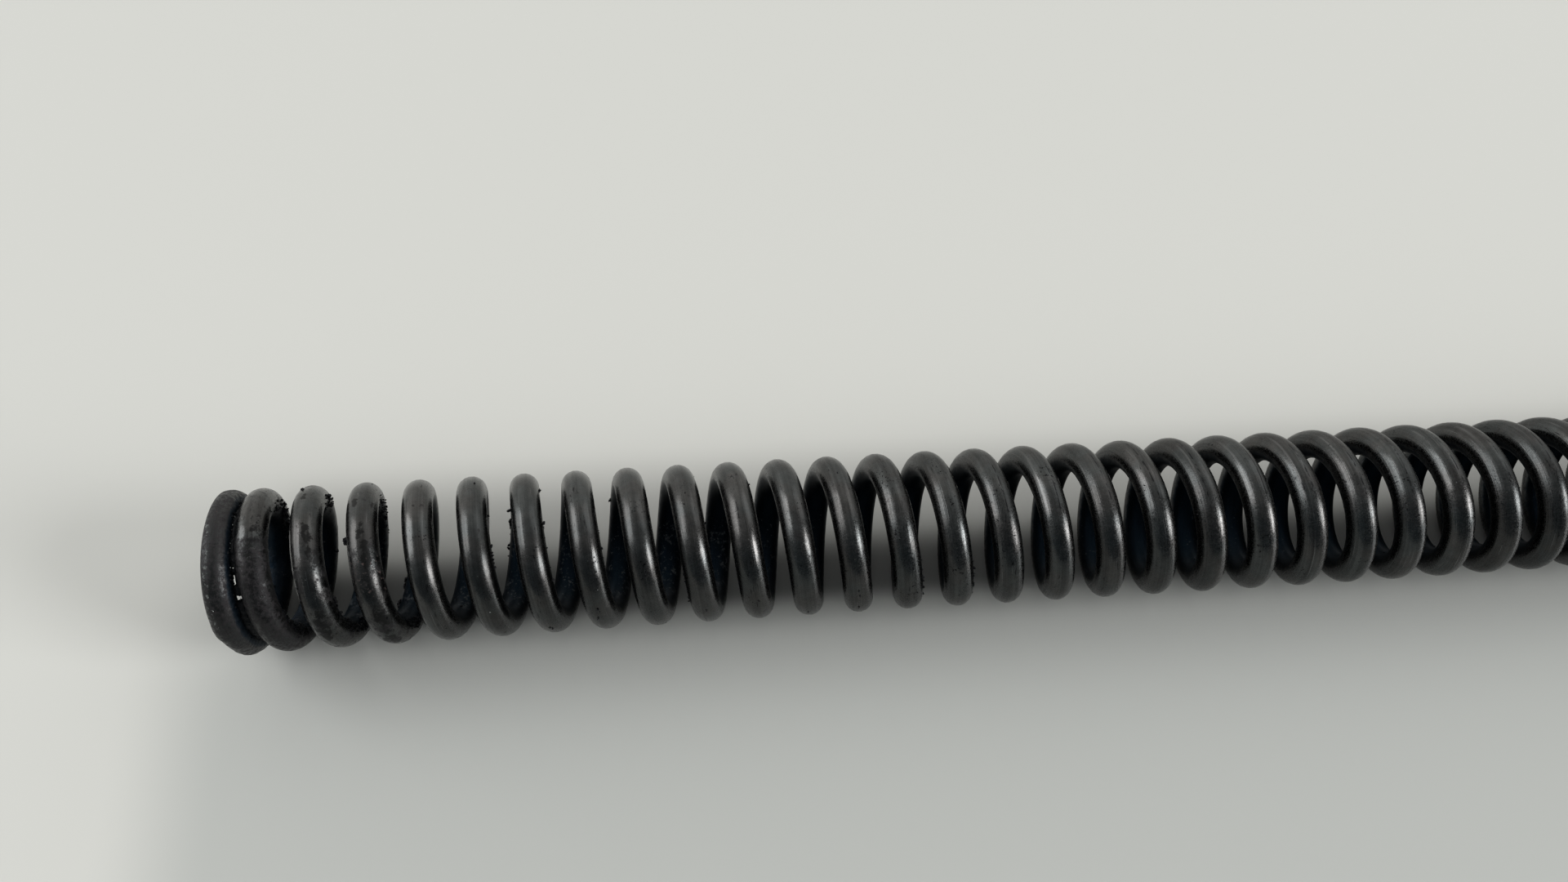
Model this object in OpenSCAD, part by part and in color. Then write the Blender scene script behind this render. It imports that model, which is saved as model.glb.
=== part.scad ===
// Fork spring: one length of round spring wire, wound right-handed, with both ends
// closed and ground flat. It lies on its side along X, with its lowest line at Z = 0
// and its middle at X = 0. Lengths are in millimetres.

/* [Wire] */
// Diameter of the round wire
wire_d = 4.75; // [3:0.05:5.5]

/* [Coil] */
// Outer diameter of the coil, which slides in the fork tube
outer_d = 26; // [20:0.5:34]
// Length with no load, from one ground end to the other
free_length = 370; // [330:5:450]
// Turns of wire from tip to tip
total_turns = 46; // [40:1:50]

/* [Ends] */
// Turns wound close at each end
closed_turns = 1.3; // [1:0.05:2]
// Turns over which the winding opens from close to full pitch
opening_turns = 0.35; // [0.2:0.05:1]
// Gap left between two closed turns
closed_gap = 0.25; // [0.1:0.05:1]
// Thickness of the wire at its tip, where the end is ground flat
tip_thickness = 1.2; // [0.8:0.1:2]

/* [Facets] */
// Straight lengths that make up one turn
turn_facets = 16; // [12:4:20]
// Sides of the wire's section
wire_facets = 8; // [6:2:10]

/* [Hidden] */

wire_r = wire_d / 2;
mean_r = outer_d / 2 - wire_r;
axis_height = outer_d / 2;

// Pitch of the closed turns, measured from wire centre to wire centre
closed_pitch = wire_d + closed_gap;

// Half of the winding, from the tip to the middle. The wire's centre starts outside
// the ground face, because the grinding leaves less than half of the tip.
half_turns = total_turns / 2;
half_travel = free_length / 2 + wire_r - tip_thickness;
open_turns = half_turns - closed_turns - opening_turns / 2;
open_pitch = closed_pitch + (half_travel - closed_pitch * half_turns) / open_turns;

// The flats of each turn and of the wire's section touch the true round surfaces,
// so their corners stand a little outside them.
turn_flare = 1 / cos(180 / turn_facets);
wire_flare = 1 / cos(180 / wire_facets);

// Half a facet past the lowest line, so that the coil rests on a row of flats
tip_angle = 180 - 180 / turn_facets;

// Smooth step from 0 to 1, and the area under it
function blend(t) = t <= 0 ? 0 : t >= 1 ? 1 : t * t * (3 - 2 * t);
function blend_area(t) = t <= 0 ? 0 : t >= 1 ? t - 0.5 : pow(t, 3) - pow(t, 4) / 2;

// Pitch and travel along the axis at a count of turns from the nearest tip
function opened(turns) = (turns - closed_turns) / opening_turns;
function pitch_at(turns) = closed_pitch + (open_pitch - closed_pitch) * blend(opened(turns));
function travel_at(turns) =
    closed_pitch * turns
    + (open_pitch - closed_pitch) * opening_turns * blend_area(opened(turns));

// Place of the wire's centre along X: the second half mirrors the first
function centre_x(turns) =
    turns <= half_turns
        ? travel_at(turns) - half_travel
        : half_travel - travel_at(total_turns - turns);

// A plane through the axis cuts the wire at its lead angle, which makes the section
// a little longer along the axis than across it.
function lead_stretch(turns) =
    norm([pitch_at(min(turns, total_turns - turns)), 2 * PI * mean_r]) / (2 * PI * mean_r);

// One ring of the wire's skin, in a plane through the axis
function ring(turns) =
    let (
        around = tip_angle + 360 * turns,
        corner_r = wire_r * wire_flare,
        x = centre_x(turns),
        stretch = lead_stretch(turns)
    )
    [for (side = [0 : wire_facets - 1])
        let (
            section_angle = 360 * (side + 0.5) / wire_facets,
            radius = (mean_r + corner_r * cos(section_angle)) * turn_flare
        )
        [
            x + corner_r * stretch * sin(section_angle),
            -radius * sin(around),
            axis_height + radius * cos(around)
        ]
    ];

// Wire swept along the coil, not yet ground: a ring at every facet of every turn,
// two triangles between each pair of sides, and a flat cap at each tip
module wound_wire() {
    lengths = total_turns * turn_facets;
    points = [for (i = [0 : lengths]) each ring(i / turn_facets)];
    skin = [
        for (i = [0 : lengths - 1], side = [0 : wire_facets - 1])
            let (
                a = i * wire_facets + side,
                b = i * wire_facets + (side + 1) % wire_facets,
                c = b + wire_facets,
                d = a + wire_facets
            )
            each [[a, b, c], [a, c, d]]
    ];
    first_cap = [for (side = [wire_facets - 1 : -1 : 0]) side];
    last_cap = [for (side = [0 : wire_facets - 1]) lengths * wire_facets + side];
    polyhedron(points = points, faces = concat([first_cap, last_cap], skin), convexity = 20);
}

// Room between the two grinding wheels
module grinding_slab() {
    translate([-free_length / 2, -outer_d, axis_height - outer_d])
        cube([free_length, 2 * outer_d, 2 * outer_d]);
}

module coil_spring() {
    color([0.2, 0.2, 0.21])
        intersection() {
            wound_wire();
            grinding_slab();
        }
}

coil_spring();
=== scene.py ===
"""Fork spring: one dark steel wire wound into a long coil, with dirt on its first turns."""

import math

import bpy
import numpy as np
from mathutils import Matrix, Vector


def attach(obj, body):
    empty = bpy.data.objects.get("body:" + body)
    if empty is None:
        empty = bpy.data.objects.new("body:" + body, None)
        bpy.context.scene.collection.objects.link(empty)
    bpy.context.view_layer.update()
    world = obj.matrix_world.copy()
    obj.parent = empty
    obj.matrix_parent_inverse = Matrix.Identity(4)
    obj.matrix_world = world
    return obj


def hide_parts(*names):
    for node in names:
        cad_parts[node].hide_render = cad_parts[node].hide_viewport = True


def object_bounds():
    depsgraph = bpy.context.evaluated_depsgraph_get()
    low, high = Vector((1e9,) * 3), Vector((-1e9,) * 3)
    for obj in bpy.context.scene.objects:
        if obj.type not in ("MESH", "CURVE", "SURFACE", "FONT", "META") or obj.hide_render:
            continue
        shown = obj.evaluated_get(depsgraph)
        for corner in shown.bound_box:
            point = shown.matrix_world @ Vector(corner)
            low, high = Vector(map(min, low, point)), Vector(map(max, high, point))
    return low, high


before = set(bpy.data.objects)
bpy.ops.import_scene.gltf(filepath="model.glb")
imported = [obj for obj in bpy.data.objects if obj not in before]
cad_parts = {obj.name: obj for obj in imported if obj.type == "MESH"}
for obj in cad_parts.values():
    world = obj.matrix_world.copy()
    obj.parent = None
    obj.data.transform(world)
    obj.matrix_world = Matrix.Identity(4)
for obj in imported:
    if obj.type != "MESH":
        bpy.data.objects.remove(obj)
cad_low, cad_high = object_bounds()

# ---------------------------------------------------------------------------------------
# Camera. It is held 0.2 m above the table on the viewer's side, near the first end of the
# spring, so that the far end runs out of view on the right.
camera_data = bpy.data.cameras.new("camera")
camera_data.lens = 28.72
camera_data.sensor_width = 36.0
camera_data.clip_start = 0.005
camera = bpy.data.objects.new("camera", camera_data)
camera.location = (-0.1106, -0.0910, 0.1991)
camera.rotation_euler = [math.radians(turn) for turn in (30.71, -2.08, -4.85)]
bpy.context.scene.collection.objects.link(camera)
bpy.context.scene.camera = camera

# ---------------------------------------------------------------------------------------
# The spring's wire. It is oil-tempered steel wire, drawn round, wound right-handed over a
# mandrel, with its end turns wound close and ground flat on a wheel. One piece, no joints.

# Sizes in metres, turns and radians. The tip angle is where the wire starts round the axis,
# counted from the top of the coil towards the viewer's side. The wire's centre starts past
# the ground face, so that grinding leaves the tip's thickness.
spring_length = cad_high.x - cad_low.x
outer_radius = (cad_high.z - cad_low.z) / 2
axis_height = (cad_low.z + cad_high.z) / 2
wire_radius = 0.002375
mean_radius = outer_radius - wire_radius
total_turns = 46
closed_turns = 1.3
opening_turns = 0.35
closed_pitch = 0.0050
tip_thickness = 0.0012
tip_angle = math.radians(168.75)
half_travel = spring_length / 2 + wire_radius - tip_thickness
open_pitch = closed_pitch + (half_travel - closed_pitch * total_turns / 2) / (
    total_turns / 2 - closed_turns - opening_turns / 2
)


def smooth_step(value, start, end):
    """0 before start, 1 after end, and 3t^2 - 2t^3 between them. end may be the lower."""
    t = np.clip((value - start) / (end - start), 0, 1)
    return t * t * (3 - 2 * t)


def centre_x(turns):
    """X of the wire's centre: closed pitch at first, a cubic step up to the open pitch,
    then steady to the middle. The second half mirrors the first."""
    near = np.minimum(turns, total_turns - turns)
    step = (near - closed_turns) / opening_turns
    rise = np.clip(step, 0, 1)
    area = rise**3 - rise**4 / 2 + np.maximum(step - 1, 0)
    travel = closed_pitch * near + (open_pitch - closed_pitch) * opening_turns * area
    return np.where(turns <= total_turns / 2, travel - half_travel, half_travel - travel)


def lead_stretch(turns):
    """Length of the wire's line over its circle, which is 1 where the pitch is 0."""
    step = 1e-4
    pitch = (centre_x(turns + step) - centre_x(turns - step)) / (2 * step)
    return np.hypot(pitch, 2 * math.pi * mean_radius) / (2 * math.pi * mean_radius)


def hand_wound(turns):
    """How far the real coil strays from the even one, in metres: along X, outwards, and
    sideways as a bow along Y. Slow sines fade out over the last turns. The first turn, and
    by less the third, lies back towards the ground face, which opens the gap after it."""
    fade_turns = 12
    widest_turn = 22.5
    fade = smooth_step(turns, total_turns, total_turns - fade_turns)
    along = 0.00003 + 0.00021 * np.sin(0.432 * turns - 1.99)
    back = 0.00040 * smooth_step(turns, 0.3, 0.8) * smooth_step(turns, 1.4, 0.9)
    back += 0.00012 * smooth_step(turns, 1.2, 2.4) * smooth_step(turns, 3.6, 2.8)
    wave = np.cos(0.3 * (turns - widest_turn))
    out = 0.00005 + 0.00006 * wave
    bow = 0.00004 - 0.00015 * wave
    return along * fade * smooth_step(turns, 0, 3) - back, out * fade, bow * fade


def wire_point(turns, section, lift=0.0):
    """Point on the wire's skin at a count of turns and an angle round its section, which
    is 0 away from the coil's axis and a quarter turn towards +X. lift raises it off the
    skin. Its distance from the axis is the mean radius plus the wire's radius times the
    cosine of the angle, and its X is the centre's plus the wire's radius times the sine,
    stretched by the lead angle, because the section lies in a plane through the axis. The
    coil lies on its lowest line, so a wider turn stands a little higher. Nothing reaches
    past the ends or below the table."""
    along, out, bow = hand_wound(turns)
    around = tip_angle + 2 * math.pi * turns
    radius = mean_radius + out + (wire_radius + lift) * np.cos(section)
    x = centre_x(turns) + along + (wire_radius + lift) * lead_stretch(turns) * np.sin(section)
    x = np.clip(x, -spring_length / 2, spring_length / 2)
    y = bow - radius * np.sin(around)
    z = np.maximum(axis_height + out + radius * np.cos(around), cad_low.z)
    return np.stack([x, y, z], axis=-1)


def lumps(points, size, seed):
    """Smooth random heights from 0 to 1 for an array of points: a seeded lattice of
    random values with cells of the given size, blended by a smooth step in each cell."""
    lattice = np.random.default_rng(seed).random((32, 32, 32))
    cell = points / size
    low = np.floor(cell).astype(int)
    part = cell - low
    part = part * part * (3 - 2 * part)
    height = np.zeros(points.shape[:-1])
    for corner in np.ndindex(2, 2, 2):
        weight = np.prod(np.where(corner, part, 1 - part), axis=-1)
        i, j, k = np.moveaxis((low + corner) % 32, -1, 0)
        height += weight * lattice[i, j, k]
    return height


def grind(points, turns, section, end):
    """Flattens what stands past a ground face, and tells which points are on it. end is -1
    for the first end and 1 for the second. In each ring the points past the face are spread
    evenly over its chord."""
    along, out, bow = hand_wound(turns)
    face = end * spring_length / 2
    depth = end * (face - centre_x(turns) - along) / (wire_radius * lead_stretch(turns))
    cap = np.arccos(np.clip(depth, -1, 1))
    from_face = (section - end * math.pi / 2 + math.pi) % (2 * math.pi) - math.pi
    spacing = 2 * math.pi / section.shape[1]
    last = (np.ceil(cap / spacing - 0.5) - 0.5) * spacing
    share = from_face / np.maximum(last, spacing / 2)
    inside = np.abs(from_face) < cap
    around = tip_angle + 2 * math.pi * turns
    radius = mean_radius + out - end * wire_radius * np.sin(cap) * share
    flat = np.stack(
        [
            np.full(radius.shape, face),
            bow - radius * np.sin(around),
            axis_height + out + radius * np.cos(around),
        ],
        axis=-1,
    )
    return np.where(inside[..., None], flat, points), inside


def tube_faces(corner, crossed):
    """Triangles of a closed tube between the rows of a grid of point numbers. Each cell's
    diagonal runs one way, or the other where crossed is true."""
    a = corner[:-1]
    b = np.roll(corner, -1, axis=1)[:-1]
    c = np.roll(corner, -1, axis=1)[1:]
    d = corner[1:]
    crossed = crossed[..., None]
    one = np.where(crossed, np.stack([a, b, d], -1), np.stack([a, b, c], -1))
    two = np.where(crossed, np.stack([b, c, d], -1), np.stack([a, c, d], -1))
    return np.concatenate([one.reshape(-1, 3), two.reshape(-1, 3)])


def tip_faces(rim, hub, first):
    """Triangles that close the first or the last tip of a tube, from its rim to a hub."""
    after = np.roll(rim, -1)
    pair = (after, rim) if first else (rim, after)
    return np.stack([np.full_like(rim, hub), *pair], -1)


def make_piece(name, points, faces, sharp_angle=None):
    """A smooth-shaded mesh object at the origin from an array of points and faces."""
    mesh = bpy.data.meshes.new(name)
    mesh.from_pydata(points, [], faces)
    mesh.validate()
    mesh.shade_smooth()
    if sharp_angle is not None:
        mesh.set_sharp_from_angle(angle=sharp_angle)
    piece = bpy.data.objects.new(name, mesh)
    bpy.context.scene.collection.objects.link(piece)
    return piece


# Heights on the first turns, in metres: the lumps of caked dirt, and past the end of the
# ground face a burr, a worn place and a crust, which lie round the rim of that face.
lump_height = 0.00008
burr_height = 0.00014
worn_depth = 0.00012
crust_height = 0.00024
rim_section = -0.9
caked_turns = 4


def skin_grid(ring_turns, sides):
    """Grids of turns and section angles for rings of the wire, their points, and which of
    them are ground. The skin is lifted by the lumps, which fade out over the caked turns.
    Burr, worn place and crust are each a rise and a fall along the wire, times a fall with
    the angle from the rim."""
    angles = 2 * math.pi * (np.arange(sides) + 0.5) / sides
    turns, section = np.meshgrid(ring_turns, angles, indexing="ij")
    caked = smooth_step(turns, caked_turns, 1)
    clean_place = wire_point(turns, section)
    lift = lump_height * np.maximum(lumps(clean_place, 0.0011, 1) - 0.45, 0)
    lift += lump_height * np.maximum(lumps(clean_place, 0.00035, 2) - 0.55, 0)
    off_rim = np.abs((section - rim_section + math.pi) % (2 * math.pi) - math.pi)
    burr = smooth_step(turns, 0.700, 0.735) * smooth_step(turns, 0.770, 0.745)
    burr = burr * smooth_step(off_rim, 0.9, 0.3)
    worn = smooth_step(turns, 0.750, 0.785) * smooth_step(turns, 0.86, 0.81)
    worn = worn * smooth_step(off_rim, 1.1, 0.4)
    crust = smooth_step(turns, 0.79, 0.86) * smooth_step(turns, 1.05, 0.95)
    crust = crust * smooth_step(off_rim, 2.0, 0.8) * (0.5 + lumps(clean_place, 0.0006, 3))
    lift = lift * caked + burr_height * burr - worn_depth * worn + crust_height * crust
    points = wire_point(turns, section, lift)
    points, first_flat = grind(points, turns, section, -1)
    points, second_flat = grind(points, turns, section, 1)
    return turns, section, points, first_flat | second_flat


# The caked turns have finer rings and twice the sides, because dirt roughens them, and the
# last turn has rings twice as fine as the rest, for its ground face. A row of triangles joins
# the two grids: each coarse point meets two fine ones.
fine_rings = 288
coarse_rings = 60
coarse_sides = 20
fine_row = np.arange(caked_turns * fine_rings + 1) / fine_rings
middle_row = np.arange(1, (total_turns - 1 - caked_turns) * coarse_rings) / coarse_rings
last_row = np.arange(2 * coarse_rings + 1) / (2 * coarse_rings)
coarse_row = np.concatenate([caked_turns + middle_row, total_turns - 1 + last_row])
fine_turns, fine_section, fine_points, fine_flat = skin_grid(fine_row, 2 * coarse_sides)
coarse_turns, coarse_section, coarse_points, coarse_flat = skin_grid(coarse_row, coarse_sides)
fine_corner = np.arange(fine_turns.size).reshape(fine_turns.shape)
coarse_corner = fine_corner.size + np.arange(coarse_turns.size).reshape(coarse_turns.shape)
skin_faces = []
for corner, flat in ((fine_corner, fine_flat), (coarse_corner, coarse_flat)):
    face_edge = flat[:-1] != np.roll(flat, -1, axis=1)[1:]
    skin_faces.append(tube_faces(corner, face_edge))
even = fine_corner[-1, 0::2]
odd = fine_corner[-1, 1::2]
next_even = np.roll(even, -1)
joint = coarse_corner[0]
next_joint = np.roll(joint, -1)
skin_faces.append(np.stack([joint, even, odd], -1))
skin_faces.append(np.stack([joint, odd, next_even], -1))
skin_faces.append(np.stack([joint, next_even, next_joint], -1))
first_hub = fine_corner.size + coarse_corner.size
skin_faces.append(tip_faces(fine_corner[0], first_hub, True))
skin_faces.append(tip_faces(coarse_corner[-1], first_hub + 1, False))
hubs = np.stack([fine_points[0].mean(axis=0), coarse_points[-1].mean(axis=0)])
skin_points = np.concatenate(
    [fine_points.reshape(-1, 3), coarse_points.reshape(-1, 3), hubs]
)
spring_wire = make_piece(
    "spring_wire", skin_points, np.concatenate(skin_faces), sharp_angle=math.radians(40)
)

# Length along the wire and place across its section, kept on the mesh in metres, so that
# the marks of the drawing die follow the wire round every turn without a seam.
turn_length = math.hypot(2 * math.pi * mean_radius, open_pitch)
wire_skin = np.concatenate(
    [
        np.stack(
            [
                turns * turn_length,
                wire_radius * np.cos(section),
                wire_radius * np.sin(section),
            ],
            axis=-1,
        ).reshape(-1, 3)
        for turns, section in ((fine_turns, fine_section), (coarse_turns, coarse_section))
    ]
    + [np.array([(0, 0, 0), (total_turns * turn_length, 0, 0)])]
)
skin_layer = spring_wire.data.attributes.new("wire_skin", "FLOAT_VECTOR", "POINT")
skin_layer.data.foreach_set("vector", wire_skin.astype(np.float32).ravel())


def add_node(tree, kind, values=None, **settings):
    """Adds one shader node, sets its options, and fills or links its inputs."""
    node = tree.nodes.new("ShaderNode" + kind)
    for option, choice in settings.items():
        setattr(node, option, choice)
    for key, value in (values or {}).items():
        if isinstance(value, bpy.types.NodeSocket):
            tree.links.new(value, node.inputs[key])
        else:
            node.inputs[key].default_value = value
    return node


def noise(tree, place, scale, detail=2.0, rough=0.5):
    """A cloudy pattern about 0.5 whose lumps are about 1/scale metres across."""
    values = {"Vector": place, "Scale": scale, "Detail": detail, "Roughness": rough}
    return add_node(tree, "TexNoise", values).outputs["Fac"]


def between(tree, value, start, end, low=0.0, high=1.0):
    """Goes smoothly from low to high as the value goes from start to end."""
    values = {"Value": value, "From Min": start, "From Max": end, "To Min": low, "To Max": high}
    node = add_node(tree, "MapRange", values, interpolation_type="SMOOTHSTEP")
    return node.outputs["Result"]


def math_value(tree, operation, *values):
    """The result of one Math node."""
    node = add_node(tree, "Math", dict(enumerate(values)), operation=operation)
    return node.outputs["Value"]


def times(tree, one, two):
    """The product of two values."""
    return math_value(tree, "MULTIPLY", one, two)


def plus(tree, one, two):
    """The sum of two values."""
    return math_value(tree, "ADD", one, two)


def minus(tree, one, two):
    """The first value less the second."""
    return math_value(tree, "SUBTRACT", one, two)


def higher(tree, one, two):
    """The greater of two values."""
    return math_value(tree, "MAXIMUM", one, two)


def over(tree, one, two):
    """The first value divided by the second."""
    return math_value(tree, "DIVIDE", one, two)


def unsigned(tree, value):
    """A value without its sign."""
    return math_value(tree, "ABSOLUTE", value)


def stretched(tree, place, x, y, z):
    """The place times a factor along each axis."""
    values = {0: place, 1: (x, y, z)}
    return add_node(tree, "VectorMath", values, operation="MULTIPLY").outputs["Vector"]


def streaks(tree, skin, along, across, detail=2.0, rough=0.5):
    """A cloudy pattern drawn out along the wire: its marks are about 1/along metres long and
    1/across metres wide."""
    return noise(tree, stretched(tree, skin, along, across, across), 1.0, detail, rough)


def cover(tree, under, coat, mask):
    """Lays one colour over another where the mask is 1."""
    node = add_node(tree, "Mix", {"Factor": mask}, data_type="RGBA")
    for key, colour in (("A", under), ("B", coat)):
        if isinstance(colour, bpy.types.NodeSocket):
            tree.links.new(colour, node.inputs[key])
        else:
            node.inputs[key].default_value = (*colour, 1.0)
    return node.outputs["Result"]


def blend_value(tree, one, two, mask):
    """Goes from one value to another where the mask goes from 0 to 1."""
    node = add_node(tree, "Mix", {"Factor": mask, 2: one, 3: two}, data_type="FLOAT")
    return node.outputs[0]


# The crust of caked dirt, which is on the wire and is all there is of the dirt between its
# turns: a crumbly pattern, and a colour that goes from dark to pale with it.
caked_crust = bpy.data.node_groups.new("caked_crust", "ShaderNodeTree")
for socket_name, socket_kind in (
    ("Place", "NodeSocketVector"),
    ("Scale", "NodeSocketFloat"),
    ("Dark", "NodeSocketColor"),
    ("Pale", "NodeSocketColor"),
    ("Dark Level", "NodeSocketFloat"),
    ("Pale Level", "NodeSocketFloat"),
):
    caked_crust.interface.new_socket(socket_name, in_out="INPUT", socket_type=socket_kind)
caked_crust.interface.new_socket("Pattern", in_out="OUTPUT", socket_type="NodeSocketFloat")
caked_crust.interface.new_socket("Colour", in_out="OUTPUT", socket_type="NodeSocketColor")
given = caked_crust.nodes.new("NodeGroupInput").outputs
crust_pattern = noise(caked_crust, given["Place"], given["Scale"], 4.0, 0.7)
pale_share = between(caked_crust, crust_pattern, given["Dark Level"], given["Pale Level"])
crust_colour = cover(caked_crust, given["Dark"], given["Pale"], pale_share)
result = caked_crust.nodes.new("NodeGroupOutput").inputs
caked_crust.links.new(crust_pattern, result["Pattern"])
caked_crust.links.new(crust_colour, result["Colour"])

steel = bpy.data.materials.new("tempered_wire")
steel.use_nodes = True
tree = steel.node_tree
shader = tree.nodes["Principled BSDF"]
skin = add_node(tree, "Attribute", attribute_name="wire_skin").outputs["Vector"]
skin_split = add_node(tree, "SeparateXYZ", {0: skin})
place = add_node(tree, "TexCoord").outputs["Object"]
place_split = add_node(tree, "SeparateXYZ", {0: place})
turn_count = over(tree, skin_split.outputs["X"], turn_length)
outward = over(tree, skin_split.outputs["Y"], wire_radius)
sideways = over(tree, skin_split.outputs["Z"], wire_radius)
towards_viewer = place_split.outputs["Y"]
height = place_split.outputs["Z"]

# Marks of the drawing die: broad bands, and fine lines that get deeper past the seventh turn.
bands = streaks(tree, skin, 12, 800)
die_lines = streaks(tree, skin, 55, 3300, 3, 0.6)
line_depth = between(tree, turn_count, 7, 17, 0.6, 1.7)

# The oxide is frosted by a fine grain, and clouded over a millimetre or so.
grain = noise(tree, place, 3800, 3, 0.65)
mottle = noise(tree, place, 800, 4, 0.65)
patches = noise(tree, place, 170, 3, 0.55)

# Scratches from the fork's tube, in groups: pale thin ones on the outer side, and dark
# broken ones.
pale_groups = between(tree, streaks(tree, skin, 70, 420), 0.48, 0.58)
pale_groups = times(tree, pale_groups, between(tree, outward, 0.2, 0.6))
pale_lines = between(tree, streaks(tree, skin, 160, 6500, 1), 0.66, 0.74)
pale_lines = times(tree, pale_lines, pale_groups)
dark_groups = between(tree, streaks(tree, skin, 90, 600), 0.56, 0.62)
dark_lines = between(tree, streaks(tree, skin, 700, 4200, 2, 0.6), 0.40, 0.34)
dark_lines = times(tree, dark_lines, dark_groups)

# Two long scuffs along the upper front of the coil, past its fourteenth turn: a pale one,
# and a broken dark one beside it. Each path wanders slowly across the wire.
upper_front = times(
    tree,
    between(tree, height, 0.0205, 0.023),
    between(tree, towards_viewer, -0.0065, -0.0035),
)
wander = streaks(tree, skin, 14, 0)
pale_path = minus(tree, sideways, between(tree, wander, 0.35, 0.65, -0.66, -0.42))
pale_off = unsigned(tree, pale_path)
pale_scuff = times(tree, between(tree, pale_off, 0.09, 0.02), upper_front)
rubbed = between(tree, streaks(tree, skin, 120, 900), 0.42, 0.60)
pale_scuff = times(tree, pale_scuff, rubbed)
pale_scuff = times(tree, pale_scuff, between(tree, turn_count, 15.5, 16.3))
pale_lines = higher(tree, pale_lines, times(tree, pale_scuff, 0.55))
dark_path = minus(tree, sideways, between(tree, wander, 0.35, 0.65, 0.32, -0.22))
dark_off = unsigned(tree, dark_path)
dark_scuff = times(tree, between(tree, dark_off, 0.06, 0.03), upper_front)
dark_scuff = times(tree, dark_scuff, between(tree, turn_count, 14.2, 15.2))
broken = between(tree, streaks(tree, skin, 900, 2500), 0.44, 0.54)
dark_lines = higher(tree, dark_lines, times(tree, dark_scuff, broken))

# Small pits, in groups, and smudges of old grease, mostly on the lower half of the coil.
pit_groups = between(tree, noise(tree, place, 230, 2, 0.5), 0.56, 0.66)
pits = times(tree, between(tree, noise(tree, place, 2300, 2, 0.6), 0.60, 0.66), pit_groups)
smudge_share = between(tree, height, 0.016, 0.004, -0.06, 0.01)
smudge_share = plus(tree, smudge_share, between(tree, turn_count, 6, 3, 0.0, 0.07))
smudge_noise = noise(tree, place, 520, 5, 0.72)
smudges = between(tree, plus(tree, smudge_noise, smudge_share), 0.59, 0.68)

# Dark stains of grease on the second to fourth turns, each twice as long along the wire as
# across it: its count of turns, its section angle in degrees, and its radius in metres.
grease_stains = (
    (1.55, 46, 0.0018), (1.60, 24, 0.0024), (1.67, 34, 0.0018), (2.45, -4, 0.0006),
    (2.53, 8, 0.0008), (2.548, 20, 0.0010), (2.567, 32, 0.0012), (2.588, 42, 0.0010),
    (2.73, 12, 0.0018), (3.47, -20, 0.0006), (3.546, 8, 0.0009), (3.562, 14, 0.0010),
    (3.59, 18, 0.0009), (3.73, 34, 0.0018), (3.79, 12, 0.0014),
)
stains = 0.0
along_share = 0.5
shortened = stretched(tree, skin, along_share, 1, 1)
for stain_turn, stain_degrees, stain_radius in grease_stains:
    stain_place = (
        along_share * stain_turn * turn_length,
        wire_radius * math.cos(math.radians(stain_degrees)),
        wire_radius * math.sin(math.radians(stain_degrees)),
    )
    values = {0: shortened, 1: stain_place}
    reach = add_node(tree, "VectorMath", values, operation="DISTANCE").outputs["Value"]
    stain = between(tree, reach, stain_radius * 1.2, stain_radius * 0.3)
    stains = higher(tree, stains, stain)
stain_cloud = plus(tree, noise(tree, place, 620, 5, 0.72), times(tree, stains, 0.16))
stains = times(tree, between(tree, stain_cloud, 0.56, 0.64), between(tree, stains, 0.0, 0.3))

# Caked dirt covers the first turn and lies in patches on the -Y side of the next few.
first_turn = between(tree, turn_count, 1.32, 1.02)
viewer_side = between(tree, towards_viewer, 0.002, -0.006)
next_turns = plus(
    tree,
    between(tree, turn_count, 2.5, 1.9, 0.0, 0.22),
    between(tree, turn_count, 6.0, 3.2, -0.20, 0.0),
)
cake_share = higher(
    tree,
    minus(tree, times(tree, first_turn, 0.42), 0.20),
    plus(tree, next_turns, between(tree, viewer_side, 0.0, 1.0, -0.28, 0.0)),
)
cake_noise = noise(tree, place, 430, 5, 0.68)
cake = between(tree, plus(tree, cake_noise, cake_share), 0.50, 0.61)
crust_values = {
    "Place": place,
    "Scale": 1700,
    "Dark": (0.006, 0.006, 0.007, 1),
    "Pale": (0.028, 0.025, 0.027, 1),
    "Dark Level": 0.42,
    "Pale Level": 0.64,
}
crust_node = add_node(tree, "Group", crust_values, node_tree=caked_crust)
crust_noise = crust_node.outputs["Pattern"]
dirt_colour = crust_node.outputs["Colour"]
crust = between(tree, crust_noise, 0.42, 0.60)
film = times(tree, cake, blend_value(tree, 0.62, 1.0, crust))

# Painted shade: the whole inner side of the coil, and the first turn's flank beside the gap
# after it, are darkened to blue-black and dulled. Low down it has paler flecks, most in the
# third to ninth turns.
gap_side = times(tree, between(tree, sideways, 0.35, 0.95), between(tree, turn_count, 1.0, 0.85))
inner_shade_line = plus(tree, outward, times(tree, mottle, 0.7))
inner_shade = between(tree, minus(tree, inner_shade_line, gap_side), 0.40, -0.15)
fleck_cloud = plus(tree, crust_noise, times(tree, cake_noise, 0.6))
fleck_share = between(tree, height, 0.012, 0.006, -0.15, 0.03)
fleck_share = plus(tree, fleck_share, between(tree, turn_count, 9, 14, 0.0, -0.10))
fleck_share = plus(tree, fleck_share, between(tree, turn_count, 2.7, 2.2, 0.0, -0.08))
flecks = between(tree, plus(tree, fleck_cloud, fleck_share), 0.88, 1.00)
inner_flecks = times(tree, inner_shade, flecks)

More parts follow.
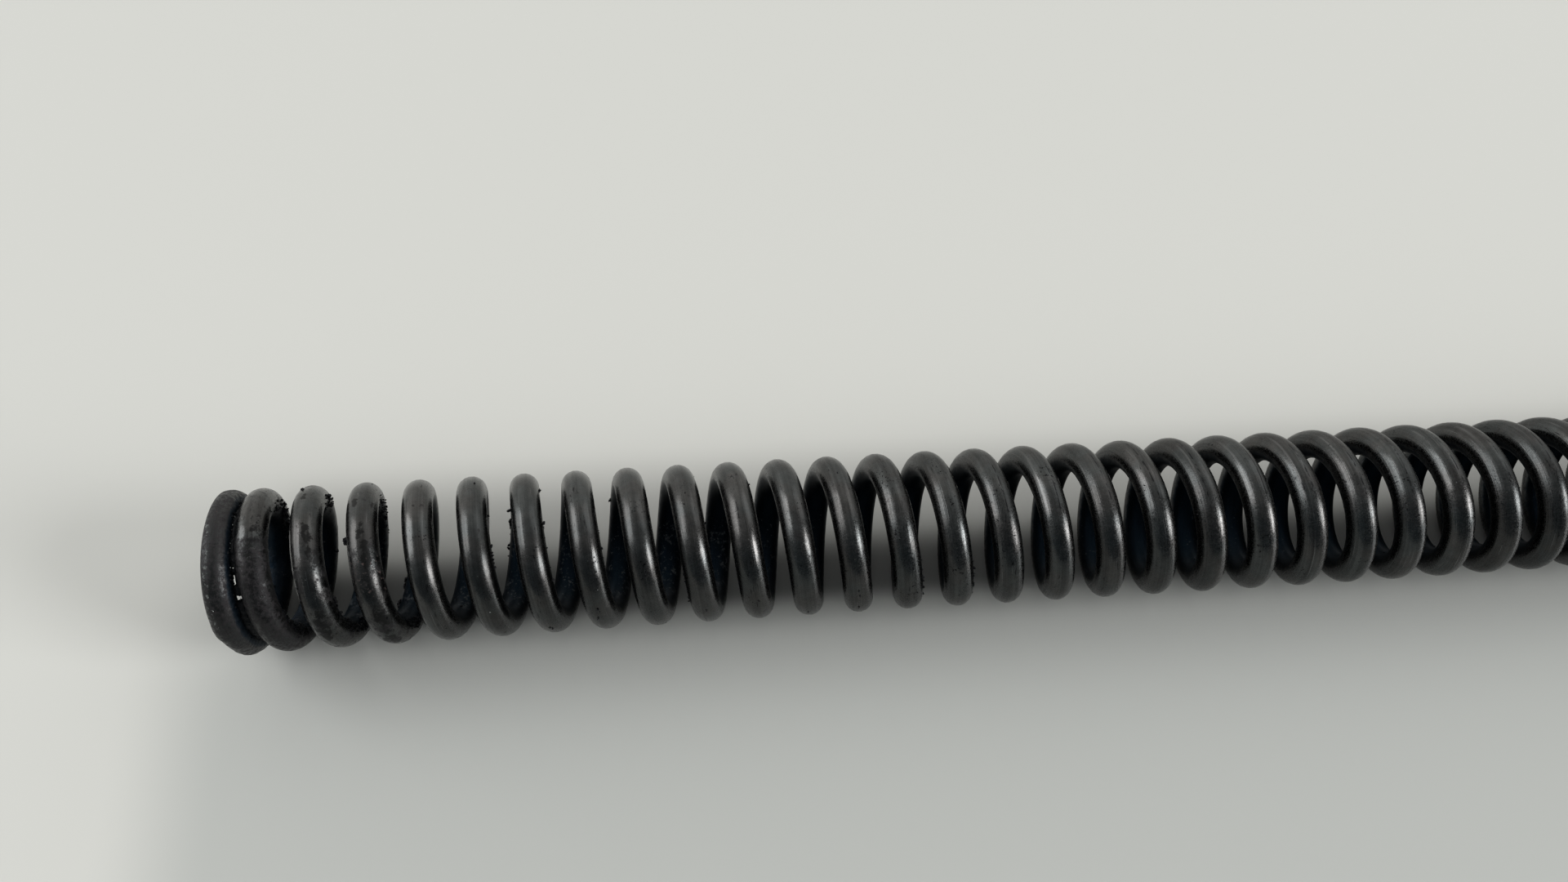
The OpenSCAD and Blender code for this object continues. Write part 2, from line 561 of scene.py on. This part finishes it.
# Rust shows in a few specks on the fourth turn, and pale dust on the first one's near side.
rust_turns = times(
    tree,
    between(tree, turn_count, 3.56, 3.60, 0.0, 0.10),
    between(tree, turn_count, 3.70, 3.65),
)
rust = between(tree, plus(tree, noise(tree, place, 1500, 3, 0.62), rust_turns), 0.71, 0.78)
dust_side = times(
    tree,
    between(tree, sideways, 0.10, -0.25),
    between(tree, turn_count, 1.25, 0.95),
)
dust_share = times(tree, minus(tree, 1.0, dust_side), -0.14)
dust = between(tree, plus(tree, noise(tree, place, 1900, 2, 0.6), dust_share), 0.59, 0.68)

# The ground faces, with the lines that the wheel left.
half_length = spring_length / 2
from_middle = unsigned(tree, place_split.outputs["X"])
ground = between(tree, from_middle, half_length - 3e-5, half_length - 1e-5)
wheel_lines = noise(tree, stretched(tree, place, 1, 300, 5000), 1, 3, 0.6)

# The colour: oxide whose tone follows the mottle and the marks of the die, and over it, one
# by one, what scratches, soils or covers it, and the painted shade of the coil's inner side.
cool_oxide = (0.052, 0.055, 0.055)
warm_oxide = (0.055, 0.054, 0.053)
scratch_pale = (0.14, 0.14, 0.14)
scratch_dark = (0.010, 0.010, 0.011)
smudge_brown = (0.018, 0.016, 0.017)
stain_black = (0.010, 0.010, 0.010)
rust_brown = (0.040, 0.021, 0.018)
# Painted shade for the coil's inner side, and its paler flecks.
painted_inner_shade = (0.003, 0.009, 0.016)
inner_fleck = (0.030, 0.037, 0.042)
pale_dust = (0.11, 0.12, 0.115)
wheel_dark = (0.10, 0.096, 0.092)
wheel_pale = (0.17, 0.166, 0.16)
ground_stain = (0.07, 0.062, 0.056)
die_tone = times(
    tree,
    between(tree, bands, 0.32, 0.68, 0.82, 1.2),
    between(tree, die_lines, 0.3, 0.7, 0.88, 1.12),
)
tone = times(tree, between(tree, mottle, 0.3, 0.7, 0.90, 1.11), die_tone)
bare = cover(tree, cool_oxide, warm_oxide, between(tree, patches, 0.38, 0.62))
toned = add_node(tree, "VectorMath", {0: bare, "Scale": tone}, operation="SCALE").outputs[0]
scratched = cover(tree, toned, scratch_pale, times(tree, pale_lines, 0.7))
scratched = cover(tree, scratched, scratch_dark, times(tree, dark_lines, 0.8))
pitted = cover(tree, scratched, scratch_dark, pits)
smudged = cover(tree, pitted, smudge_brown, times(tree, smudges, 0.8))
stained = cover(tree, smudged, stain_black, times(tree, stains, 0.82))
dirty = cover(tree, stained, dirt_colour, times(tree, film, 0.92))
rusty = cover(tree, dirty, rust_brown, times(tree, rust, 0.85))
# The painted shade of the coil's inner side, with its paler flecks.
inner_shade_colour = cover(tree, painted_inner_shade, inner_fleck, flecks)
inner_shaded = cover(tree, rusty, inner_shade_colour, times(tree, inner_shade, 0.92))
dusty = cover(tree, inner_shaded, pale_dust, times(tree, dust, 0.8))
wheel_colour = cover(tree, wheel_dark, wheel_pale, wheel_lines)
ground_colour = cover(tree, wheel_colour, ground_stain, between(tree, patches, 0.45, 0.75))
wire_colour = cover(tree, dusty, ground_colour, ground)
tree.links.new(wire_colour, shader.inputs["Base Color"])

# Rust, dust and flecks are not metal, and the film of dirt hides a quarter of it.
loose = higher(tree, higher(tree, rust, dust), inner_flecks)
metal = minus(tree, 1.0, times(tree, film, 0.25))
metal = times(tree, metal, minus(tree, 1.0, loose))
metal = blend_value(tree, metal, 1.0, ground)
tree.links.new(metal, shader.inputs["Metallic"])

# Roughness. The grain breaks up the gloss, and more so past the first turns.
gloss = between(tree, mottle, 0.3, 0.7, 0.23, 0.28)
gloss = plus(tree, gloss, between(tree, bands, 0.32, 0.68, 0.04, -0.03))
grain_share = between(tree, turn_count, 6, 15, 0.35, 1.0)
grain_gloss = between(tree, grain, 0.34, 0.66, -0.09, 0.12)
gloss = plus(tree, gloss, times(tree, grain_gloss, grain_share))
# Grease, stains and the painted shade of the inner side are duller.
grease_and_shade = higher(tree, higher(tree, smudges, stains), inner_shade)
gloss = blend_value(tree, gloss, 0.5, grease_and_shade)
gloss = blend_value(tree, gloss, between(tree, crust_noise, 0.35, 0.65, 0.38, 0.74), film)
gloss = blend_value(tree, gloss, 0.8, loose)
gloss = blend_value(tree, gloss, 0.42, ground)
tree.links.new(gloss, shader.inputs["Roughness"])

# The oxide mirrors a little less at a grazing angle past the eighth turn.
edge_tint = between(tree, turn_count, 8, 14, 1.0, 0.82)
tree.links.new(edge_tint, shader.inputs["Specular Tint"])

# Relief: the lines of the die, the grain and the crust of the dirt.
relief_height = 0.00002
relief = times(tree, die_lines, line_depth)
relief = plus(tree, relief, times(tree, grain, 0.4))
relief = plus(tree, relief, times(tree, times(tree, cake, crust_noise), 2.5))
bump = add_node(tree, "Bump", {"Height": relief, "Distance": relief_height, "Strength": 1.0})
tree.links.new(bump.outputs["Normal"], shader.inputs["Normal"])
spring_wire.data.materials.append(steel)
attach(spring_wire, "root")
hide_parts("coil_spring")

# ---------------------------------------------------------------------------------------
# Dried dirt between the end turn and the next one. It is black grease and grit that has
# packed into the narrow gap and set, with a few pinholes where it has dropped out.
fill_sides = 16
fill_rings = 640
fill_start = 0.04
fill_end = 0.86
fill_row = np.arange(fill_start, fill_end, 1 / fill_rings)
fill_angles = 2 * math.pi * np.arange(fill_sides) / fill_sides
fill_turns, fill_section = np.meshgrid(fill_row, fill_angles, indexing="ij")

# Place along the dirt and round it, in metres, which its lumps follow.
fill_reach = 0.001
fill_skin = np.stack(
    [
        fill_turns * turn_length,
        np.cos(fill_section) * fill_reach,
        np.sin(fill_section) * fill_reach,
    ],
    axis=-1,
)

# Each pinhole has its angle from the coil's top towards the viewer's side, in degrees, its
# reach along the wire both ways, in metres, and 1 where the dirt beside the second turn
# stays or 0 where the hole runs from turn to turn.
pinhole_places = ((23, 0.00014, 1), (33, 0.0009, 1), (48.5, 0.0005, 0))
ragged_edge = 0.0003
ragged = lumps(fill_skin, 0.00035, 7)
dirt_left = np.ones(fill_turns.shape)
for hole_degrees, hole_reach, far_share in pinhole_places:
    hole_turn = (math.radians(hole_degrees + 360) - tip_angle) / (2 * math.pi)
    away = np.abs(fill_turns - hole_turn) * turn_length + ragged_edge * (ragged - 0.5)
    closed = smooth_step(away, hole_reach * 0.5, hole_reach * 1.4)
    kept_side = far_share * smooth_step(np.sin(fill_section), -0.1, 0.1)
    dirt_left = np.minimum(dirt_left, np.maximum(closed, kept_side))
fill_ends = smooth_step(fill_turns, fill_start, fill_start + 0.05)
fill_ends = fill_ends * smooth_step(fill_turns, fill_end, fill_end - 0.03)

# The dirt's section is an ellipse that reaches from wire to wire and a little into both,
# and lies nearer to the axis than their centres. Lumps make it wider and taller. All of
# these are in metres.
sunk_in = 0.00010
lump_width = 0.00022
flat_height = 0.00040
lump_rise = 0.00050
inward = 0.0003
thinnest = 1e-5
near_stray, out_stray, bow_stray = hand_wound(fill_turns)
near_centre = centre_x(fill_turns) + near_stray
far_centre = centre_x(fill_turns + 1) + hand_wound(fill_turns + 1)[0]
gap_half = (far_centre - near_centre) / 2 - wire_radius
fill_around = tip_angle + 2 * math.pi * fill_turns
fill_lumps = lumps(fill_skin, 0.0006, 5) + 0.5 * lumps(fill_skin, 0.00028, 6)
fill_wide = gap_half + sunk_in + lump_width * fill_lumps
fill_wide = fill_wide * fill_ends * dirt_left + thinnest
fill_tall = (flat_height + lump_rise * fill_lumps) * fill_ends * dirt_left + thinnest
fill_radius = mean_radius + out_stray - inward + fill_tall * np.cos(fill_section)
fill_points = np.stack(
    [
        (near_centre + far_centre) / 2 + fill_wide * np.sin(fill_section),
        bow_stray - fill_radius * np.sin(fill_around),
        axis_height + out_stray + fill_radius * np.cos(fill_around),
    ],
    axis=-1,
)
fill_corner = np.arange(fill_turns.size).reshape(fill_turns.shape)
fill_hub = fill_corner.size
gap_dirt = make_piece(
    "gap_dirt",
    np.concatenate([fill_points.reshape(-1, 3), fill_points[[0, -1]].mean(axis=1)]),
    np.concatenate(
        [
            tube_faces(fill_corner, np.zeros(fill_turns[1:].shape, bool)),
            tip_faces(fill_corner[0], fill_hub, True),
            tip_faces(fill_corner[-1], fill_hub + 1, False),
        ]
    ),
)

dirt = bpy.data.materials.new("dried_dirt")
dirt.use_nodes = True
tree = dirt.node_tree
shader = tree.nodes["Principled BSDF"]
place = add_node(tree, "TexCoord").outputs["Object"]
crust_values = {
    "Place": place,
    "Scale": 2400,
    "Dark": (0.004, 0.005, 0.007, 1),
    "Pale": (0.014, 0.013, 0.014, 1),
    "Dark Level": 0.4,
    "Pale Level": 0.7,
}
crust_node = add_node(tree, "Group", crust_values, node_tree=caked_crust)
dirt_grain = crust_node.outputs["Pattern"]
sand_share = add_node(tree, "Attribute", attribute_name="sand_share").outputs["Fac"]
pale_sand = (0.42, 0.44, 0.43)
dirt_tone = cover(tree, crust_node.outputs["Colour"], pale_sand, sand_share)
tree.links.new(dirt_tone, shader.inputs["Base Color"])
tree.links.new(between(tree, dirt_grain, 0.3, 0.7, 0.55, 0.85), shader.inputs["Roughness"])
shader.inputs["Specular IOR Level"].default_value = 0.2
bump = add_node(tree, "Bump", {"Height": dirt_grain, "Distance": 0.00006, "Strength": 1.0})
tree.links.new(bump.outputs["Normal"], shader.inputs["Normal"])
gap_dirt.data.materials.append(dirt)
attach(gap_dirt, "root")

# ---------------------------------------------------------------------------------------
# Crumbs of the same dirt, stuck to the wire. Most sit on the far sides of the first tops
# and inside the bottoms, and a few single ones farther along. Ten are pale grains of sand.
crumb_random = np.random.default_rng(11)

# Beds of crumbs: count of turns, how far they run both ways in turns, section angle and its
# spread in degrees, how many there are, and their usual size in millimetres.
crumb_beds = [
    (0.45, 0.04, 88, 26, 40, 0.28),
    (0.56, 0.10, 88, 18, 60, 0.26),
    (0.72, 0.12, 88, 14, 50, 0.22),
    (1.33, 0.07, 100, 32, 56, 0.27),
    (1.24, 0.05, 116, 24, 40, 0.28),
    (2.35, 0.06, 102, 32, 40, 0.30),
    (3.33, 0.09, 110, 24, 40, 0.26),
    (3.22, 0.06, 122, 20, 28, 0.26),
    (1.80, 0.07, 114, 24, 60, 0.33),
    (2.71, 0.03, 110, 8, 16, 0.46),
    (2.85, 0.08, 108, 22, 70, 0.33),
    (3.88, 0.06, 108, 22, 56, 0.32),
    (2.10, 0.05, -120, 26, 40, 0.36),
    (3.10, 0.06, -112, 22, 50, 0.36),
    (3.98, 0.015, -110, 8, 9, 0.50),
    (4.045, 0.012, -102, 8, 12, 0.48),
    (4.15, 0.05, -106, 14, 30, 0.32),
    (2.405, 0.006, -24, 8, 6, 0.34),
    (3.544, 0.002, -84, 3, 4, 0.62),
    (3.550, 0.002, -88, 3, 4, 0.75),
    (4.75, 0.05, 84, 8, 8, 0.22),
    (5.60, 0.05, 88, 8, 9, 0.30),
    (6.50, 0.01, -86, 8, 3, 0.42),
    (6.19, 0.007, -92, 3, 5, 0.40),
    (6.12, 0.007, -92, 3, 5, 0.40),
    (6.15, 0.06, -98, 6, 9, 0.26),
    (6.43, 0.02, 76, 8, 3, 0.28),
    (6.60, 0.07, 84, 8, 8, 0.22),
    (7.60, 0.05, 84, 8, 6, 0.22),
    (8.25, 0.005, -94, 6, 3, 0.40),
    (9.72, 0.06, -84, 10, 7, 0.26),
    (13.75, 0.10, 84, 8, 10, 0.30),
    (14.75, 0.12, 84, 8, 12, 0.30),
    (0.95, 0.30, 120, 60, 40, 0.20),
    (2.00, 0.60, 180, 70, 60, 0.24),
    (16.0, 13.0, 150, 80, 150, 0.20),
]

# Single grains and specks: count of turns, section angle in degrees, size in millimetres.
pale_grains = [
    (0.468, 78, 0.22), (0.476, 78, 0.20), (0.493, 78, 0.22), (0.541, 78, 0.26),
    (0.552, 78, 0.18), (0.595, 78, 0.20), (0.676, -9, 0.14), (3.83, 20, 0.12),
    (5.72, 12, 0.12), (7.685, 20, 0.12),
]
dark_specks = [
    (5.426, 18, 0.26), (6.794, 9, 0.36), (6.788, 2, 0.30), (7.733, 3, 0.40),
    (7.740, 8, 0.30), (7.762, -6, 0.34), (7.619, 30, 0.26), (7.648, 27, 0.30),
    (7.662, 27, 0.24), (7.63, 24, 0.20), (4.425, 21, 0.26), (3.723, 42, 0.36),
    (3.716, 36, 0.26), (2.413, -18, 0.34), (2.642, -45, 0.40), (12.73, 0, 0.30),
    (12.745, 4, 0.24), (12.79, -3, 0.34), (12.468, 0, 0.24), (10.466, 69, 0.30),
    (9.559, 87, 0.34), (6.431, 78, 0.30), (15.627, 21, 0.26), (17.61, -3, 0.26),
    (18.539, -42, 0.24), (18.549, -48, 0.24), (19.606, -69, 0.26), (23.633, 3, 0.28),
    (23.636, -6, 0.30), (13.75, 30, 0.26), (10.74, 10, 0.26), (11.80, -4, 0.26),
    (9.76, 6, 0.32),
]
bed_rows = []
for bed_turn, bed_run, bed_section, bed_spread, bed_count, bed_size in crumb_beds:
    bed_rows.append(
        np.stack(
            [
                bed_turn + bed_run * crumb_random.uniform(-1, 1, bed_count),
                bed_section + bed_spread * crumb_random.normal(0, 0.5, bed_count),
                bed_size * crumb_random.lognormal(0, 0.35, bed_count),
            ],
            axis=-1,
        )
    )
crumb_rows = np.concatenate([np.array(pale_grains), np.array(dark_specks), *bed_rows])
crumb_count = len(crumb_rows)
off_tip = 0.05
smallest_crumb = 0.08
largest_crumb = 0.75
stand_off_share = 0.2
crumb_turns = np.clip(crumb_rows[:, 0], off_tip, total_turns - off_tip)
crumb_section = np.radians(crumb_rows[:, 1])
crumb_size = np.clip(crumb_rows[:, 2], smallest_crumb, largest_crumb) / 1000
crumb_place = wire_point(crumb_turns, crumb_section, crumb_size * stand_off_share)

# One crumb is an octahedron with each face split in four and the new corners moved out to
# a ball, 18 points and 32 faces in all. It is pushed in and out at random, squashed a
# little, and turned to a random side.
form_points = np.array(
    [(1, 0, 0), (-1, 0, 0), (0, 1, 0), (0, -1, 0), (0, 0, 1), (0, 0, -1)], float
)
form_faces = np.array(
    [(0, 2, 4), (2, 1, 4), (1, 3, 4), (3, 0, 4), (2, 0, 5), (1, 2, 5), (3, 1, 5), (0, 3, 5)]
)
edge_ends = np.concatenate([form_faces[:, pair] for pair in ([0, 1], [1, 2], [2, 0])])
edges, edge_number = np.unique(np.sort(edge_ends, axis=1), axis=0, return_inverse=True)
middles = form_points[edges].mean(axis=1)
middles /= np.linalg.norm(middles, axis=1, keepdims=True)
ab, bc, ca = edge_number.reshape(3, -1) + len(form_points)
a, b, c = form_faces.T
form_points = np.concatenate([form_points, middles])
form_faces = np.concatenate(
    [
        np.stack([a, ab, ca], -1),
        np.stack([ab, b, bc], -1),
        np.stack([ca, bc, c], -1),
        np.stack([ab, bc, ca], -1),
    ]
)
push = crumb_random.uniform(0.5, 1.35, (crumb_count, len(form_points), 1))
squash = crumb_random.uniform(0.4, 1.1, (crumb_count, 1, 3))
turn_axes = np.linalg.qr(crumb_random.normal(size=(crumb_count, 3, 3)))[0]
turn_axes *= np.sign(np.linalg.det(turn_axes))[:, None, None]
crumb_points = (form_points * push * squash) @ turn_axes

# A crumb that is pushed in and squashed is smaller than its form, so all are scaled up.
scale_up = 1.3
crumb_points = crumb_points * crumb_size[:, None, None] / 2 * scale_up
crumb_points = crumb_points + crumb_place[:, None, :]
crumb_faces = form_faces + len(form_points) * np.arange(crumb_count)[:, None, None]
grit_crumbs = make_piece(
    "grit_crumbs",
    crumb_points.reshape(-1, 3),
    crumb_faces.reshape(-1, 3),
    sharp_angle=math.radians(25),
)
crumb_tone = np.zeros(crumb_points.shape[:2], np.float32)
crumb_tone[: len(pale_grains)] = 1
tone_layer = grit_crumbs.data.attributes.new("sand_share", "FLOAT", "POINT")
tone_layer.data.foreach_set("value", crumb_tone.ravel())
grit_crumbs.data.materials.append(dirt)
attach(grit_crumbs, "root")

# ---------------------------------------------------------------------------------------
# Table and light. A plain pale table top in a room that is bright behind it and dim on
# the viewer's side, with a strong soft panel to the right, a wide, weaker one to the left
# and a faint one behind.
table_half = 4
table_corners = [(-1, -1, 0), (1, -1, 0), (1, 1, 0), (-1, 1, 0)]
floor = make_piece(
    "table_top",
    table_half * np.array(table_corners, float) + np.array([0, 0, cad_low.z]),
    [(0, 1, 2, 3)],
)
table_paint = bpy.data.materials.new("table_paint")
table_paint.use_nodes = True
tree = table_paint.node_tree
shader = tree.nodes["Principled BSDF"]

# The paint is dull to the eye, and glossier in what the steel mirrors of it.
seen = add_node(tree, "LightPath").outputs["Is Camera Ray"]
tree.links.new(between(tree, seen, 0.0, 1.0, 0.38, 0.7), shader.inputs["Roughness"])
table_place = add_node(tree, "TexCoord").outputs["Object"]
table_split = add_node(tree, "SeparateXYZ", {0: table_place})
table_x = table_split.outputs["X"]
table_y = table_split.outputs["Y"]

# The viewer's shadow lies on the near side. It fades away from the spring where it is
# seen, but the steel mirrors all of it.
shade = times(
    tree,
    between(tree, table_y, 0.03, -0.03),
    between(tree, table_x, -0.206, -0.186),
)
shade_fade = times(
    tree,
    between(tree, table_y, -0.20, -0.06),
    between(tree, table_x, 0.30, 0.12),
)
shade = times(tree, shade, blend_value(tree, 1.0, shade_fade, seen))
lit_paint = (0.575, 0.575, 0.545)
shaded_paint = (0.43, 0.44, 0.42)
shaded = cover(tree, lit_paint, shaded_paint, shade)

# The spring keeps the light off the table under it, most of all under its axis.
under_coil = times(
    tree,
    between(tree, table_y, 0.027, 0.013, 0.0, 0.42),
    between(tree, table_y, -0.013, -0.004),
)
under_axis = times(
    tree,
    between(tree, table_y, 0.0075, 0.0010, 0.0, 0.42),
    between(tree, table_y, -0.0070, -0.0030),
)
under = plus(tree, under_coil, under_axis)
under = times(tree, under, between(tree, table_x, -0.19, -0.175))
under = times(tree, under, between(tree, table_x, 0.19, 0.175))
under_paint = (0.10, 0.10, 0.10)
table_colour = cover(tree, shaded, under_paint, under)
tree.links.new(table_colour, shader.inputs["Base Color"])
floor.data.materials.append(table_paint)


def panel(name, azimuth, elevation, wide, tall, radiance):
    """A soft rectangular lamp that faces the first turns, with all its angles in degrees.
    azimuth is counted from the viewer's side (-Y) towards +X, and wide and tall are the
    angles that it fills. Its power is its radiance times pi times its area."""
    distance = 12
    first_turns = Vector((-0.1, 0, axis_height))
    turn = math.radians(azimuth)
    rise = math.radians(elevation)
    way = Vector(
        (math.sin(turn) * math.cos(rise), -math.cos(turn) * math.cos(rise), math.sin(rise))
    )
    lamp = bpy.data.lights.new(name, "AREA")
    lamp.shape = "RECTANGLE"
    lamp.size = 2 * distance * math.tan(math.radians(wide / 2))
    lamp.size_y = 2 * distance * math.tan(math.radians(tall / 2))
    lamp.energy = radiance * math.pi * lamp.size * lamp.size_y
    holder = bpy.data.objects.new(name, lamp)
    holder.location = first_turns + way * distance
    holder.rotation_euler = way.to_track_quat("Z", "Y").to_euler()
    bpy.context.scene.collection.objects.link(holder)


panel("right_panel", 71, 22, wide=21, tall=26, radiance=14.0)
panel("left_panel", -102, 32, wide=44, tall=40, radiance=3.8)
panel("back_panel", 125, 38, wide=40, tall=36, radiance=0.7)

# The room goes from dim on the viewer's side to bright behind the table.
world = bpy.data.worlds.new("room")
world.use_nodes = True
bpy.context.scene.world = world
tree = world.node_tree
backdrop = tree.nodes["Background"]
direction = add_node(tree, "TexCoord").outputs["Generated"]
room_split = add_node(tree, "SeparateXYZ", {0: direction})
room_values = {"Value": room_split.outputs["Y"], "From Min": -1.0, "From Max": 1.0}
room_place = add_node(tree, "MapRange", room_values)
room_tone = add_node(tree, "ValToRGB", {"Fac": room_place.outputs["Result"]})
room_tone.color_ramp.interpolation = "EASE"
room_tone.color_ramp.elements[0].position = 0.1
room_tone.color_ramp.elements[0].color = (0.118, 0.138, 0.148, 1)
room_tone.color_ramp.elements[1].position = 0.9
room_tone.color_ramp.elements[1].color = (1.0, 1.0, 0.96, 1)
overhead = room_tone.color_ramp.elements.new(0.5)
overhead.color = (0.44, 0.445, 0.44, 1)

# The eye sees a plain pale room on every side. The steel mirrors its bright and dim sides.
seen = add_node(tree, "LightPath").outputs["Is Camera Ray"]
plain_room = (0.62, 0.63, 0.61)
room_colour = cover(tree, room_tone.outputs["Color"], plain_room, seen)
tree.links.new(room_colour, backdrop.inputs["Color"])

# It is a little brighter on the left.
side_values = {
    "Value": room_split.outputs["X"],
    "From Min": -0.7,
    "From Max": 0.7,
    "To Min": 1.18,
    "To Max": 0.82,
}
room_side = add_node(tree, "MapRange", side_values)
tree.links.new(room_side.outputs["Result"], backdrop.inputs["Strength"])

bpy.context.scene.view_settings.view_transform = "Standard"
